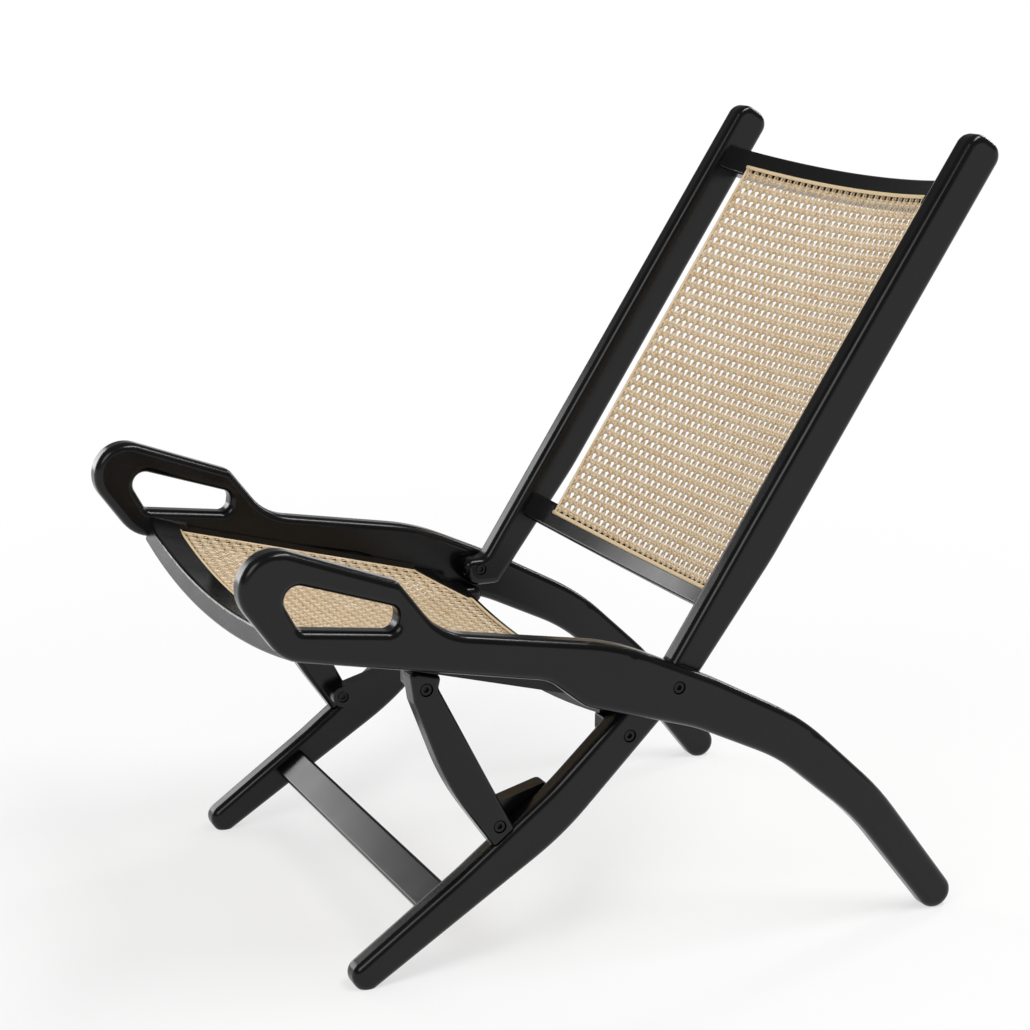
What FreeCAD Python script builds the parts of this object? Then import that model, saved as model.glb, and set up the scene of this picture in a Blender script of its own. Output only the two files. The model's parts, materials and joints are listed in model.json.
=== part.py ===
import FreeCAD, Part
import math
import os

from FreeCAD import Placement, Rotation, Vector

# Folding lounge chair with crossed legs: black wooden boards, caned seat and back.
# +X is the sitter's left, the seat's front edge looks along -Y, and +Z is up.

# Overall sizes, in millimetres
chair_width = 520.0
chair_depth = 750.0
chair_height = 750.0
board = 26.0
edge_round = 8.0
overrun = 5.0

# Clearances
swing_gap = 1.0
stop_gap = 0.8
joint_gap = 1.0
fit_gap = 0.15
running_gap = 0.06
cane_gap = 4.0

# Places in the side view, as shares of the depth and of the height
pivot_share = (0.053, 0.345)
strut_top_share = (-0.263, 0.369)
strut_foot_share = (-0.168, 0.185)
leg_bolt_share = (0.0045, 0.279)

# Side rail: a loop handle, a rising seat rail and the rear leg in one board.
# Each corner is a share of the depth, a share of the height and a share of the depth for its round.
side_rail_shares = [
    (-0.577, 0.609, 0.045),
    (-0.448, 0.432, 0.053),
    (-0.117, 0.371, 0.053),
    (-0.069, 0.333, 0.053),
    (0.080, 0.289, 0.200),
    (0.200, 0.233, 0.270),
    (0.313, 0.139, 0.400),
    (0.435, -0.011, 0.022),
    (0.469, 0.018, 0.022),
    (0.348, 0.175, 0.400),
    (0.231, 0.283, 0.330),
    (0.105, 0.349, 0.270),
    (-0.027, 0.408, 0.330),
    (-0.256, 0.445, 0.080),
    (-0.308, 0.512, 0.016),
]
handle_hole_shares = [
    (-0.464, 0.531, 0.017),
    (-0.307, 0.481, 0.012),
    (-0.311, 0.453, 0.012),
    (-0.429, 0.467, 0.010),
]

# Front leg, below its head
front_leg_shares = [
    (-0.080, 0.160, 0.400),
    (-0.343, -0.011, 0.018),
    (-0.363, 0.021, 0.018),
    (-0.217, 0.127, 0.530),
    (-0.095, 0.223, 0.400),
]
leg_head_front_share = 0.005
leg_head_rear_share = 0.075
leg_head_round = 10.0

# Back post, above its foot
post_foot_radius = 18.5
post_toe_rise = 11.0
post_toe_round = 9.0
post_shares = [
    (0.060, 0.361, 0.016),
    (0.4618, 1.0005, 0.020),
    (0.5068, 0.9725, 0.020),
    (0.200, 0.483, 0.530),
]
post_heel_share = 0.083
post_heel_round = 9.0

# Strut between the side rail and the front leg
strut_front_neck = 14.0
strut_front_middle = 24.0
strut_front_foot = 12.0
strut_rear = 12.0
strut_head_width = 31.0
strut_neck_drop = 6.0
strut_neck_drift = 8.0
strut_tail = 24.0
strut_round = 6.0
strut_edge_round = 5.0
strut_bow_round = 250.0

# Cheeks behind the bolts of the strut and of the leg
cheek = 18.0
cheek_radius = 15.0
cheek_rise = 13.0
strut_cheek_reach = 8.0
lug_radius = 11.0
lug_rise = 8.0
lug_reach = 58.0
lug_climb = 20.0
lug_end = 14.0
lug_round = 8.0

# Stretcher between the front legs
stretcher_share = (-0.235, 0.083)
stretcher_width = 34.0
stretcher_thickness = 16.0
stretcher_tilt = 38.0
stretcher_round = 3.0

# Seat frame, in its own sloping frame that starts at the front rail's top front edge
seat_front_share = (-0.433, 0.424)
seat_slope = 14.4
seat_length = 350.0
seat_sag = 20.0
front_rail_depth = 42.0
rear_rail_depth = 28.0
rear_rim = 5.0
front_rail_height = 20.0
rear_rail_height = 28.0
rail_round = 3.0
flare_rise = 6.0
flare_length = 30.0
rebate_width = 12.0
seat_corner_width = 74.0
seat_corner_length = 45.0
bearer_width = 18.0
bearer_fall = 13.0
bearer_lip = 5.0
bearer_lip_rise = 3.0
corner_height = 14.0
cane_thickness = 2.6
spline_width = 4.5
spline_thickness = 2.4

# Plain grid of eyes through a cane panel, for the holes of its weave
eye_pitch = 34.0
eye_size = 21.0
eye_margin = 8.0

# Back frame, measured along the posts from the pivot and square to them
back_lean = 58.1
back_rail_start = 74.0
back_top_rail_drop = 74.0
back_rail_height = 28.0
back_rail_thickness = 20.0
back_rail_front = 17.0
back_bow = 20.0

# Tenons: their length in the boards, and their places in the seat rails
tenon_length = 12.0
tenon_inset = 5.0
seat_tenon_height = 12.0
front_tenon_lift = 8.0
front_tenon_width = 16.0
rear_tenon_lift = 17.0
rear_tenon_width = 12.0

# Bolts with a hexagon socket and their sleeve nuts
bolt_head_diameter = 10.0
bolt_head_height = 5.5
bolt_shank_diameter = 6.0
bolt_socket = 5.0
bolt_socket_depth = 3.0
bore_diameter = 12.6
head_sink = 1.0
sleeve_diameter = 8.0
sleeve_flange = 2.2
washer_diameter = 17.0

# Faces of the layers, from the outside in
outer_face = chair_width / 2
rail_inner = outer_face - board
post_outer = rail_inner - swing_gap
post_inner = post_outer - board
leg_outer = rail_inner
leg_inner = leg_outer - board
cheek_inner = leg_inner - cheek


def at(share):
    return share[0] * chair_depth, share[1] * chair_height


pivot_y, pivot_z = at(pivot_share)
leg_bolt_y, leg_bolt_z = at(leg_bolt_share)
strut_top_y, strut_top_z = at(strut_top_share)
strut_foot_y, strut_foot_z = at(strut_foot_share)


def corners_of(shares):
    return [(y * chair_depth, z * chair_height, r * chair_depth) for y, z, r in shares]


def rounded_wire(corners, x):
    """A closed outline in the side view, with each corner turned by an arc that its two edges have room for."""
    count = len(corners)
    turns = []
    for i in range(count):
        here = Vector(x, *corners[i][:2])
        before = Vector(x, *corners[i - 1][:2]) - here
        after = Vector(x, *corners[(i + 1) % count][:2]) - here
        half = before.getAngle(after) / 2
        turns.append((here, before, after, half, corners[i][2] / math.tan(half)))
    arcs = []
    for i in range(count):
        here, before, after, half, reach = turns[i]
        taken = max((reach + turns[i - 1][4]) / before.Length, (reach + turns[(i + 1) % count][4]) / after.Length)
        reach = reach / max(taken, 1)
        radius = reach * math.tan(half)
        before.normalize()
        after.normalize()
        middle = (before + after).normalize() * (radius / math.sin(half) - radius)
        arcs.append((here + before * reach, here + middle, here + after * reach))
    edges = []
    for i in range(count):
        start, middle, end = arcs[i]
        following = arcs[(i + 1) % count][0]
        edges.append(Part.Arc(start, middle, end).toShape())
        if (following - end).Length > running_gap:
            edges.append(Part.makeLine(end, following))
    return Part.Wire(Part.__sortEdges__(edges))


def slab(corners, inner, outer, holes=()):
    """A board whose outline lies in the side view, between two planes across the chair."""
    wires = [rounded_wire(corners, inner)] + [rounded_wire(hole, inner) for hole in holes]
    return Part.Face(wires, "Part::FaceMakerBullseye").extrude(Vector(outer - inner, 0, 0))


def soften(shape, radius, planes):
    """Round the edges that lie in the given planes across the chair."""
    edges = []
    for edge in shape.Edges:
        box = edge.BoundBox
        for plane in planes:
            if abs(box.XMin - plane) < fit_gap and abs(box.XMax - plane) < fit_gap:
                edges.append(edge)
    return shape.makeFillet(radius, edges)


def bore(y, z, start, end, diameter):
    return Part.makeCylinder(diameter / 2, end - start, Vector(start, y, z), Vector(1, 0, 0))


def head_bores(shape, y, z, inner, outer):
    """The counterbore of a bolt's head, and the bore of the sleeve nut behind it."""
    shape = shape.cut(bore(y, z, outer - bolt_head_height - head_sink, outer + overrun, bore_diameter))
    return shape.cut(bore(y, z, inner - overrun, outer, sleeve_diameter + 2 * fit_gap))


def cheek_bores(shape, y, z):
    shape = shape.cut(bore(y, z, cheek_inner - overrun, leg_inner + overrun, sleeve_diameter + 2 * fit_gap))
    return shape.cut(bore(y, z, cheek_inner - overrun, cheek_inner + sleeve_flange + head_sink, bore_diameter))


def trim_floor(shape):
    box = shape.BoundBox
    low = Part.makeBox(box.XLength + 2 * overrun, box.YLength + 2 * overrun, chair_height)
    low.translate(Vector(box.XMin - overrun, box.YMin - overrun, -chair_height))
    return shape.cut(low)


def mirrored(shape):
    return shape.mirror(Vector(0, 0, 0), Vector(1, 0, 0))


# Wooden boards of one side, on the sitter's left

def leg_corners():
    head_z = pivot_z - post_foot_radius - stop_gap
    head = [(leg_head_front_share * chair_depth, head_z, leg_head_round),
            (leg_head_rear_share * chair_depth, head_z, leg_head_round)]
    return head + corners_of(front_leg_shares)


def side_rail():
    rail = slab(corners_of(side_rail_shares), rail_inner, outer_face, [corners_of(handle_hole_shares)])
    rail = soften(rail, edge_round, [rail_inner, outer_face])
    rail = trim_floor(rail)
    rail = head_bores(rail, pivot_y, pivot_z, rail_inner, outer_face)
    for tenon in seat_tenons(fit_gap):
        rail = rail.cut(tenon)
    return rail


def front_leg():
    leg = slab(leg_corners(), leg_inner, leg_outer)
    leg = soften(leg, edge_round, [leg_inner, leg_outer])
    leg = trim_floor(leg)
    leg = head_bores(leg, leg_bolt_y, leg_bolt_z, leg_inner, leg_outer)
    return leg.cut(stretcher_body(fit_gap))


def back_post():
    foot = [(pivot_y - post_foot_radius, pivot_z - post_foot_radius, post_foot_radius),
            (pivot_y - post_foot_radius, pivot_z + post_toe_rise, post_toe_round)]
    heel = [(post_heel_share * chair_depth, pivot_z - post_foot_radius, post_heel_round)]
    post = slab(foot + corners_of(post_shares) + heel, post_inner, post_outer)
    post = soften(post, edge_round, [post_inner, post_outer])
    post = post.cut(bore(pivot_y, pivot_z, post_inner - overrun, post_outer + overrun,
                         sleeve_diameter + 2 * running_gap))
    post = post.cut(bore(pivot_y, pivot_z, post_inner - overrun, post_inner + sleeve_flange + head_sink,
                         bore_diameter))
    for tenon in back_tenons(fit_gap):
        post = post.cut(tenon)
    return post


def below_seat(y, fall):
    """The height of the line that runs a given fall below the seat frame's side edges."""
    start_y, start_z = at(seat_front_share)
    slope = math.radians(seat_slope)
    return start_z + (seat_sag - fall) / math.cos(slope) - (y - start_y) * math.tan(slope)


def strut():
    """A board from the front leg up to the seat bearer, whose head is cut along the bearer."""
    axis = Vector(0, strut_foot_y - strut_top_y, strut_foot_z - strut_top_z).normalize()
    side = Vector(0, -axis.z, axis.y)
    top = Vector(0, strut_top_y, strut_top_z)
    foot = Vector(0, strut_foot_y, strut_foot_z) + axis * strut_tail
    neck = top + Vector(0, strut_neck_drift - strut_neck_drop, -strut_neck_drop)
    middle = (neck + foot) / 2
    corners = []
    for place, reach, radius in ((neck, -strut_front_neck, strut_round),
                                 (middle, -strut_front_middle, strut_bow_round),
                                 (foot, -strut_front_foot, strut_round), (foot, strut_rear, strut_round),
                                 (neck, strut_rear, strut_round)):
        point = place + side * reach
        corners.append((point.y, point.z, radius))
    for end_y in (strut_top_y + strut_head_width / 2, strut_top_y - strut_head_width / 2):
        corners.append((end_y, below_seat(end_y, bearer_fall), strut_round))
    body = slab(corners, leg_inner, leg_outer)
    body = soften(body, strut_edge_round, [leg_inner, leg_outer])
    grown = Part.Face(rounded_wire(leg_corners(), leg_inner - overrun)).makeOffset2D(joint_gap)
    body = body.cut(grown.extrude(Vector(board + 2 * overrun, 0, 0)))
    for y, z in ((strut_top_y, strut_top_z), (strut_foot_y, strut_foot_z)):
        body = head_bores(body, y, z, leg_inner, leg_outer)
    return body


def cheek_plate(y, z, reach):
    """A cheek inside a board of the legs' layer, with its reach in front of the bolt and below it."""
    front, rear = y - reach, y + cheek_radius
    top, low = z + cheek_rise, z - reach
    plate = slab([(front, top, rail_round), (rear, top, rail_round), (rear, low, reach - running_gap),
                  (front, low, reach - running_gap)], cheek_inner, leg_inner)
    return cheek_bores(plate, y, z)


def strut_cheek():
    """The cheek inside the strut's head, below the cane, which the top bolt clamps."""
    return cheek_plate(strut_top_y, strut_top_z, strut_cheek_reach)


def leg_cheek():
    """The cheek inside the front leg's head, shaped to the rail above it, which the leg's bolt clamps."""
    return cheek_plate(leg_bolt_y, leg_bolt_z, cheek_radius).cut(seat_rear_rail())


def leg_lug():
    """A cheek glued inside the front leg, which the strut's foot bolts to."""
    top, low = strut_foot_z + lug_rise, strut_foot_z - lug_radius
    corners = [(strut_foot_y - lug_radius, top, lug_round),
               (strut_foot_y + lug_reach, top + lug_climb, lug_round),
               (strut_foot_y + lug_reach + lug_round, top + lug_climb - lug_end, lug_round / 2),
               (strut_foot_y + lug_radius, low, lug_radius),
               (strut_foot_y - lug_radius, low, lug_radius)]
    lug = slab(corners, cheek_inner, leg_inner)
    return cheek_bores(lug, strut_foot_y, strut_foot_z)


# Cross pieces

def stretcher_body(gap):
    """The whole stretcher with its tenons, grown by a gap for the mortises."""
    centre_y, centre_z = at(stretcher_share)
    half = leg_inner
    body = Part.makeBox(2 * half, stretcher_width, stretcher_thickness,
                        Vector(-half, -stretcher_width / 2, -stretcher_thickness / 2))
    tenon_width = stretcher_width - 2 * tenon_inset + 2 * gap
    tenon_thickness = stretcher_thickness - tenon_inset + 2 * gap
    reach = half + tenon_length + gap
    tenon = Part.makeBox(2 * reach, tenon_width, tenon_thickness,
                         Vector(-reach, -tenon_width / 2, -tenon_thickness / 2))
    if gap:
        body = tenon
    else:
        edges = [edge for edge in body.Edges if edge.Length > stretcher_width + overrun]
        body = body.makeFillet(stretcher_round, edges).fuse(tenon)
    body.Placement = Placement(Vector(0, centre_y, centre_z), Rotation(Vector(1, 0, 0), stretcher_tilt))
    return body


def band(half, sag, low, high, start, length):
    """A strip bent across the chair: its middle hangs by the sag under its ends."""
    def line(level):
        return [Vector(-half, start, level + sag), Vector(0, start, level), Vector(half, start, level + sag)]
    upper, lower = line(high), line(low)
    edges = [Part.Arc(*upper).toShape(), Part.makeLine(upper[2], lower[2]),
             Part.Arc(*lower).toShape(), Part.makeLine(lower[0], upper[0])]
    return Part.Face(Part.Wire(Part.__sortEdges__(edges))).extrude(Vector(0, length, 0))


def cross_rail(half, sag, height, start, depth):
    """A bent rail whose top face flares up to the boards at both ends."""
    flat = half - flare_length
    shrink = sag * (flat / half) ** 2
    def curve(level):
        return [Vector(-flat, start, level + shrink), Vector(0, start, level), Vector(flat, start, level + shrink)]
    top, low = curve(0), curve(-height)
    edges = [Part.Arc(*top).toShape(), Part.Arc(*low).toShape()]
    for sign in (-1, 1):
        inner_top = top[1 + sign]
        inner_low = low[1 + sign]
        outer_top = Vector(sign * half, start, sag + flare_rise)
        outer_low = Vector(sign * half, start, sag - height)
        mid_top = (inner_top + outer_top) / 2 - Vector(0, 0, flare_rise / 4)
        edges += [Part.Arc(inner_top, mid_top, outer_top).toShape(), Part.makeLine(outer_top, outer_low),
                  Part.makeLine(outer_low, inner_low)]
    rail = Part.Face(Part.Wire(Part.__sortEdges__(edges))).extrude(Vector(0, depth, 0))
    long_edges = [edge for edge in rail.Edges
                  if edge.BoundBox.YLength < fit_gap and edge.BoundBox.XLength > fit_gap]
    return rail.makeFillet(rail_round, long_edges)


def rail_tenons(half, reach, low, tall, start, wide, gap):
    """The two tenons past the ends of a rail, grown by a gap for their mortises."""
    tenons = []
    for place_x in (half, -reach - gap):
        place = Vector(place_x, start - gap, low - gap)
        tenons.append(Part.makeBox(reach + gap - half, wide + 2 * gap, tall + 2 * gap, place))
    return tenons


def in_seat(shape):
    y, z = at(seat_front_share)
    lift = Placement(Vector(0, y, z), Rotation(Vector(1, 0, 0), -seat_slope))
    shape.Placement = lift.multiply(shape.Placement)
    return shape


def in_back(shape):
    """Stand a piece of the back up: its length goes up the posts, its top looks forward."""
    lift = Placement(Vector(0, pivot_y, pivot_z), Rotation(Vector(1, 0, 0), back_lean))
    shape.Placement = lift.multiply(shape.Placement)
    return shape


seat_half = rail_inner
seat_rear_half = leg_inner - fit_gap
seat_cane_half = rail_inner - bearer_lip
back_half = post_inner
back_cane_half = back_half - flare_length - cane_gap
post_length = math.hypot(post_shares[1][0] * chair_depth - pivot_y, post_shares[1][1] * chair_height - pivot_z)
back_top_start = post_length - back_top_rail_drop
back_level = -back_rail_front - back_bow


def share_of(half, whole):
    return (half / whole) ** 2


seat_rear_sag = seat_sag * share_of(seat_rear_half, seat_half)
seat_rear_start = seat_length - rear_rail_depth
seat_cane_sag = seat_sag * share_of(seat_cane_half, seat_half)
seat_cane_start = front_rail_depth - rebate_width
seat_cane_end = seat_length - rear_rim
seat_corner_start = seat_cane_end - seat_corner_length


def seat_tenons(gap):
    reach = rail_inner + tenon_length
    front_low = seat_sag - front_rail_height + front_tenon_lift
    rear_low = seat_rear_sag - rear_rail_height + rear_tenon_lift
    front = rail_tenons(seat_half, reach, front_low, seat_tenon_height, tenon_inset, front_tenon_width, gap)
    rear = rail_tenons(seat_rear_half, reach, rear_low, seat_tenon_height, seat_rear_start + swing_gap,
                       rear_tenon_width, gap)
    return [in_seat(tenon) for tenon in front + rear]


def back_tenons(gap):
    tenons = []
    low = tenon_inset - back_rail_front - back_rail_thickness
    tall = back_rail_thickness - 2 * tenon_inset
    wide = back_rail_height - 2 * tenon_inset
    for start in (back_rail_start, back_top_start):
        for tenon in rail_tenons(back_half, back_half + tenon_length, low, tall, start + tenon_inset, wide, gap):
            tenons.append(in_back(tenon))
    return tenons


def seat_plan(gap):
    """The outline of the seat's cane as a tall block, with its rear corners cut off, grown by a gap."""
    wide = seat_cane_half + gap
    start, end = seat_cane_start + fit_gap - gap, seat_cane_end - fit_gap + gap
    narrow, turn = wide - seat_corner_width, end - seat_corner_length
    points = [(-wide, start), (wide, start), (wide, turn), (narrow, end), (-narrow, end), (-wide, turn),
              (-wide, start)]
    face = Part.Face(Part.makePolygon([Vector(x, y, -chair_height) for x, y in points]))
    return face.extrude(Vector(0, 0, 2 * chair_height))


def seat_band(low, high, start, length):
    return band(seat_cane_half, seat_cane_sag, low, high, start, length)


def seat_rebate():
    """The room for the cane's edge and its spline."""
    half = seat_cane_half + fit_gap
    room = band(half, seat_sag * share_of(half, seat_half), -cane_thickness - spline_thickness,
                overrun + flare_rise, seat_cane_start, seat_cane_end - seat_cane_start)
    return room.common(seat_plan(fit_gap))


def finished_rail(rail, tenons):
    rail = in_seat(rail.cut(seat_rebate()))
    for tenon in tenons:
        rail = rail.fuse(tenon)
    return rail


def seat_front_rail():
    rail = cross_rail(seat_half, seat_sag, front_rail_height, 0, front_rail_depth)
    return finished_rail(rail, seat_tenons(0)[:2])


def seat_rear_rail():
    rail = band(seat_rear_half, seat_rear_sag, -rear_rail_height, 0, seat_rear_start, rear_rail_depth)
    long_edges = [edge for edge in rail.Edges if edge.BoundBox.YLength < fit_gap
                  and edge.BoundBox.XLength > fit_gap and edge.BoundBox.YMin > seat_rear_start + fit_gap]
    return finished_rail(rail.makeFillet(rail_round, long_edges), seat_tenons(0)[2:])


def seat_bearer():
    """A strip glued inside the side rail: it carries the cane's edge beside its lip, and the strut's head."""
    start = front_rail_depth + fit_gap
    length = seat_corner_start - fit_gap - start
    strip = Part.makeBox(bearer_width, length, bearer_fall + bearer_lip_rise,
                         Vector(seat_half - fit_gap - bearer_width, start, seat_sag - bearer_fall + fit_gap))
    half = seat_cane_half + fit_gap
    room = band(half, seat_sag * share_of(half, seat_half), -cane_thickness - spline_thickness - fit_gap,
                bearer_fall + bearer_lip_rise, start, length)
    return in_seat(strip.cut(room))


def seat_corner():
    """A block in the rear corner, between the side rail, the rear rail and the cane's slanting edge."""
    half = seat_half - fit_gap
    strip = band(half, seat_sag * share_of(half, seat_half), -corner_height, 0, seat_corner_start,
                 seat_rear_start - fit_gap - seat_corner_start)
    left = Part.makeBox(chair_width, seat_length, 2 * chair_height, Vector(0, 0, -chair_height))
    return in_seat(strip.common(left).cut(seat_plan(fit_gap)))


def pierced(panel, corner_width=0, corner_length=0):
    """Open the grid of eyes through a panel that still lies flat, up to its slanting rear corners."""
    box = panel.BoundBox
    columns = int((box.XLength - 2 * eye_margin) // eye_pitch)
    rows = int((box.YLength - 2 * eye_margin) // eye_pitch)
    start_x = box.Center.x - (columns * eye_pitch - eye_pitch + eye_size) / 2
    start_y = box.Center.y - (rows * eye_pitch - eye_pitch + eye_size) / 2
    eyes = []
    for column in range(columns):
        for row in range(rows):
            place = Vector(start_x + column * eye_pitch, start_y + row * eye_pitch, box.ZMin - overrun)
            far_x = max(abs(place.x), abs(place.x + eye_size)) + eye_margin
            far_y = place.y + eye_size + eye_margin
            over_x, over_y = far_x + corner_width - box.XMax, far_y + corner_length - box.YMax
            if corner_width and over_x * corner_length + over_y * corner_width > corner_width * corner_length:
                continue
            eyes.append(Part.makeBox(eye_size, eye_size, box.ZLength + 2 * overrun, place))
    return panel.cut(Part.makeCompound(eyes))


def seat_cane():
    start = seat_cane_start + fit_gap
    panel = seat_band(-cane_thickness - spline_thickness, -spline_thickness, start, seat_cane_end - fit_gap - start)
    return in_seat(pierced(panel, seat_corner_width, seat_corner_length).common(seat_plan(0)))


def seat_splines():
    places = (seat_cane_start + fit_gap, seat_cane_end - fit_gap - spline_width)
    return [in_seat(seat_band(-spline_thickness, 0, place, spline_width).common(seat_plan(0)))
            for place in places]


def back_rail(start, below, tenons):
    rail = cross_rail(back_half, back_bow, back_rail_thickness, start, back_rail_height)
    if below:
        rebate_start = start + back_rail_height - rebate_width
    else:
        rebate_start = start - overrun
    rebate = band(back_cane_half + fit_gap, back_bow * share_of(back_cane_half, back_half),
                  -cane_thickness - spline_thickness, overrun, rebate_start, rebate_width + overrun)
    rail = rail.cut(rebate)
    rail.translate(Vector(0, 0, back_level))
    rail = in_back(rail)
    for tenon in tenons:
        rail = rail.fuse(tenon)
    return rail


def back_band(low, high, start, length):
    return band(back_cane_half, back_bow * share_of(back_cane_half, back_half), low + back_level,
                high + back_level, start, length)


def back_cane():
    start = back_rail_start + back_rail_height - rebate_width + fit_gap
    end = back_top_start + rebate_width - fit_gap
    return in_back(pierced(back_band(-cane_thickness - spline_thickness, -spline_thickness, start, end - start)))


def back_splines():
    low = back_rail_start + back_rail_height - rebate_width + fit_gap
    high = back_top_start + rebate_width - fit_gap - spline_width
    return [in_back(back_band(-spline_thickness, 0, place, spline_width)) for place in (low, high)]


# Bolts, all on the sitter's left, with their heads outside

def socket_bolt(y, z, face, length):
    head_end = face - head_sink
    head = bore(y, z, head_end - bolt_head_height, head_end, bolt_head_diameter)
    shank = bore(y, z, head_end - length, head_end - bolt_head_height, bolt_shank_diameter)
    corner = bolt_socket / math.sqrt(3)
    points = [Vector(head_end - bolt_socket_depth, y + corner * math.cos(math.radians(60 * i)),
                     z + corner * math.sin(math.radians(60 * i))) for i in range(7)]
    socket = Part.Face(Part.makePolygon(points)).extrude(Vector(bolt_socket_depth + overrun, 0, 0))
    return head.fuse(shank).cut(socket).removeSplitter()


def sleeve_nut(y, z, face, end):
    flange = bore(y, z, face + head_sink, face + head_sink + sleeve_flange, bolt_head_diameter)
    sleeve = bore(y, z, face + head_sink, end, sleeve_diameter)
    hole = bore(y, z, face - overrun, end + overrun, bolt_shank_diameter + 2 * running_gap)
    return flange.fuse(sleeve).cut(hole).removeSplitter()


def bolt_pair(y, z, outside, inside):
    """A bolt and the sleeve nut that it runs into from the inner face."""
    head_low = outside - head_sink - bolt_head_height
    nut_end = head_low - joint_gap
    length = outside - head_sink - (inside + head_sink + sleeve_flange)
    return socket_bolt(y, z, outside, length), sleeve_nut(y, z, inside, nut_end)


def pivot_washer():
    disc = bore(pivot_y, pivot_z, post_outer, rail_inner, washer_diameter)
    return disc.cut(bore(pivot_y, pivot_z, post_outer - overrun, rail_inner + overrun,
                         sleeve_diameter + 2 * fit_gap))


def both_sides(shapes):
    return Part.makeCompound(list(shapes) + [mirrored(shape) for shape in shapes])


def build_parts():
    parts = {}
    for name, maker in (("side_rail", side_rail), ("front_leg", front_leg), ("back_post", back_post),
                        ("strut", strut), ("strut_cheek", strut_cheek), ("leg_cheek", leg_cheek),
                        ("leg_lug", leg_lug), ("seat_bearer", seat_bearer), ("seat_corner", seat_corner)):
        shape = maker()
        parts[name + "_left"] = shape
        parts[name + "_right"] = mirrored(shape)
    parts["leg_stretcher"] = stretcher_body(0)
    parts["seat_front_rail"] = seat_front_rail()
    parts["seat_rear_rail"] = seat_rear_rail()
    parts["seat_cane"] = seat_cane()
    parts["seat_splines"] = Part.makeCompound(seat_splines())
    back = back_tenons(0)
    parts["back_bottom_rail"] = back_rail(back_rail_start, True, back[:2])
    parts["back_top_rail"] = back_rail(back_top_start, False, back[2:])
    parts["back_cane"] = back_cane()
    parts["back_splines"] = Part.makeCompound(back_splines())
    pivot_bolt, pivot_nut = bolt_pair(pivot_y, pivot_z, outer_face, post_inner)
    leg_bolt, leg_nut = bolt_pair(leg_bolt_y, leg_bolt_z, leg_outer, cheek_inner)
    top_bolt, top_nut = bolt_pair(strut_top_y, strut_top_z, leg_outer, cheek_inner)
    foot_bolt, foot_nut = bolt_pair(strut_foot_y, strut_foot_z, leg_outer, cheek_inner)
    parts["pivot_bolts"] = both_sides([pivot_bolt])
    parts["pivot_sleeve_nuts"] = both_sides([pivot_nut])
    parts["pivot_washers"] = both_sides([pivot_washer()])
    parts["leg_bolts"] = both_sides([leg_bolt])
    parts["leg_sleeve_nuts"] = both_sides([leg_nut])
    parts["strut_bolts"] = both_sides([top_bolt, foot_bolt])
    parts["strut_sleeve_nuts"] = both_sides([top_nut, foot_nut])
    return parts


os.makedirs("parts", exist_ok=True)
for node, shape in build_parts().items():
    shape.exportStep("parts/" + node + ".step")
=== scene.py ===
import json
import math

import bpy
import numpy as np
from bpy.props import FloatProperty, FloatVectorProperty, PointerProperty, StringProperty
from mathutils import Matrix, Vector


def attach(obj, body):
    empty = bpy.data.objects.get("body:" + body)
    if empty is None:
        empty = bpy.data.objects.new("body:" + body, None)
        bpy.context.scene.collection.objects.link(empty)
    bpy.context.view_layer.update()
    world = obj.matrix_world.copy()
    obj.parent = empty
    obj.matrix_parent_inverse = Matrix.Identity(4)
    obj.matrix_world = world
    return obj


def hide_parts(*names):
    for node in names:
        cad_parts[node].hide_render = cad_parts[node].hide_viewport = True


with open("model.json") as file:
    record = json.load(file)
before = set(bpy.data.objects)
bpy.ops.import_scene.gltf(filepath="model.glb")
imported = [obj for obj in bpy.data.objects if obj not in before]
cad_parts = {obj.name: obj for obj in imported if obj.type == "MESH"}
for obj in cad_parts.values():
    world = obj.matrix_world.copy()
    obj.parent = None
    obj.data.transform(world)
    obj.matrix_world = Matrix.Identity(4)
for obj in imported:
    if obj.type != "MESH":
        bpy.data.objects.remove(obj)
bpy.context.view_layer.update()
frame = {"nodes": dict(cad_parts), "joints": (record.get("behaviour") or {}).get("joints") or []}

bl_info = {
    "name": "Caned Folding Chair",
    "version": (1, 0, 0),
    "blender": (4, 5, 0),
    "location": "3D View > Sidebar > Chair",
    "description": "Weaves the cane, fits the reed and finishes the boards of a black folding lounge chair",
    "category": "Object",
}

PIVOT = next(joint["pos_m"] for joint in frame["joints"] if joint["name"] == "back_fold")

QUARTER_TURN = math.pi / 2
FULL_TURN = 2 * math.pi
WHITE = (1.0, 1.0, 1.0, 1.0)

# How far the length of each board is tipped from level, in degrees
BOARD_TILTS = {"side_rail": 18, "front_leg": -40, "back_post": -58, "strut": 62, "strut_cheek": 62,
               "leg_cheek": -40, "leg_lug": 16, "seat_bearer": -14, "seat_corner": -14}
CROSS_BOARDS = ("leg_stretcher", "seat_front_rail", "seat_rear_rail", "back_bottom_rail", "back_top_rail")
STEEL_NODES = ("pivot_bolts", "pivot_sleeve_nuts", "leg_bolts", "leg_sleeve_nuts", "strut_bolts",
               "strut_sleeve_nuts")

# Each kind of strand is numbered in a range of its own, so that the tones of two kinds differ
WARP_FROM = 0
WEFT_FROM = 200
DIAGONALS_FROM = {-1: 300, 1: 500}
BINDERS_FROM = 900
REEDS_FROM = 60

# Place, width and height in metres, and power in watts of each lamp
SOFTBOXES = {
    "key_softbox": ((1.7, -2.2, 2.2), 1.4, 1.4, 24.0),
    "top_strip": ((0.9, 1.0, 3.0), 2.2, 0.4, 46.0),
    "side_softbox": ((-2.4, -1.3, 0.7), 1.6, 1.0, 18.0),
    "rim_strip": ((-1.4, 2.6, 1.9), 0.4, 1.6, 20.0),
}


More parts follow.
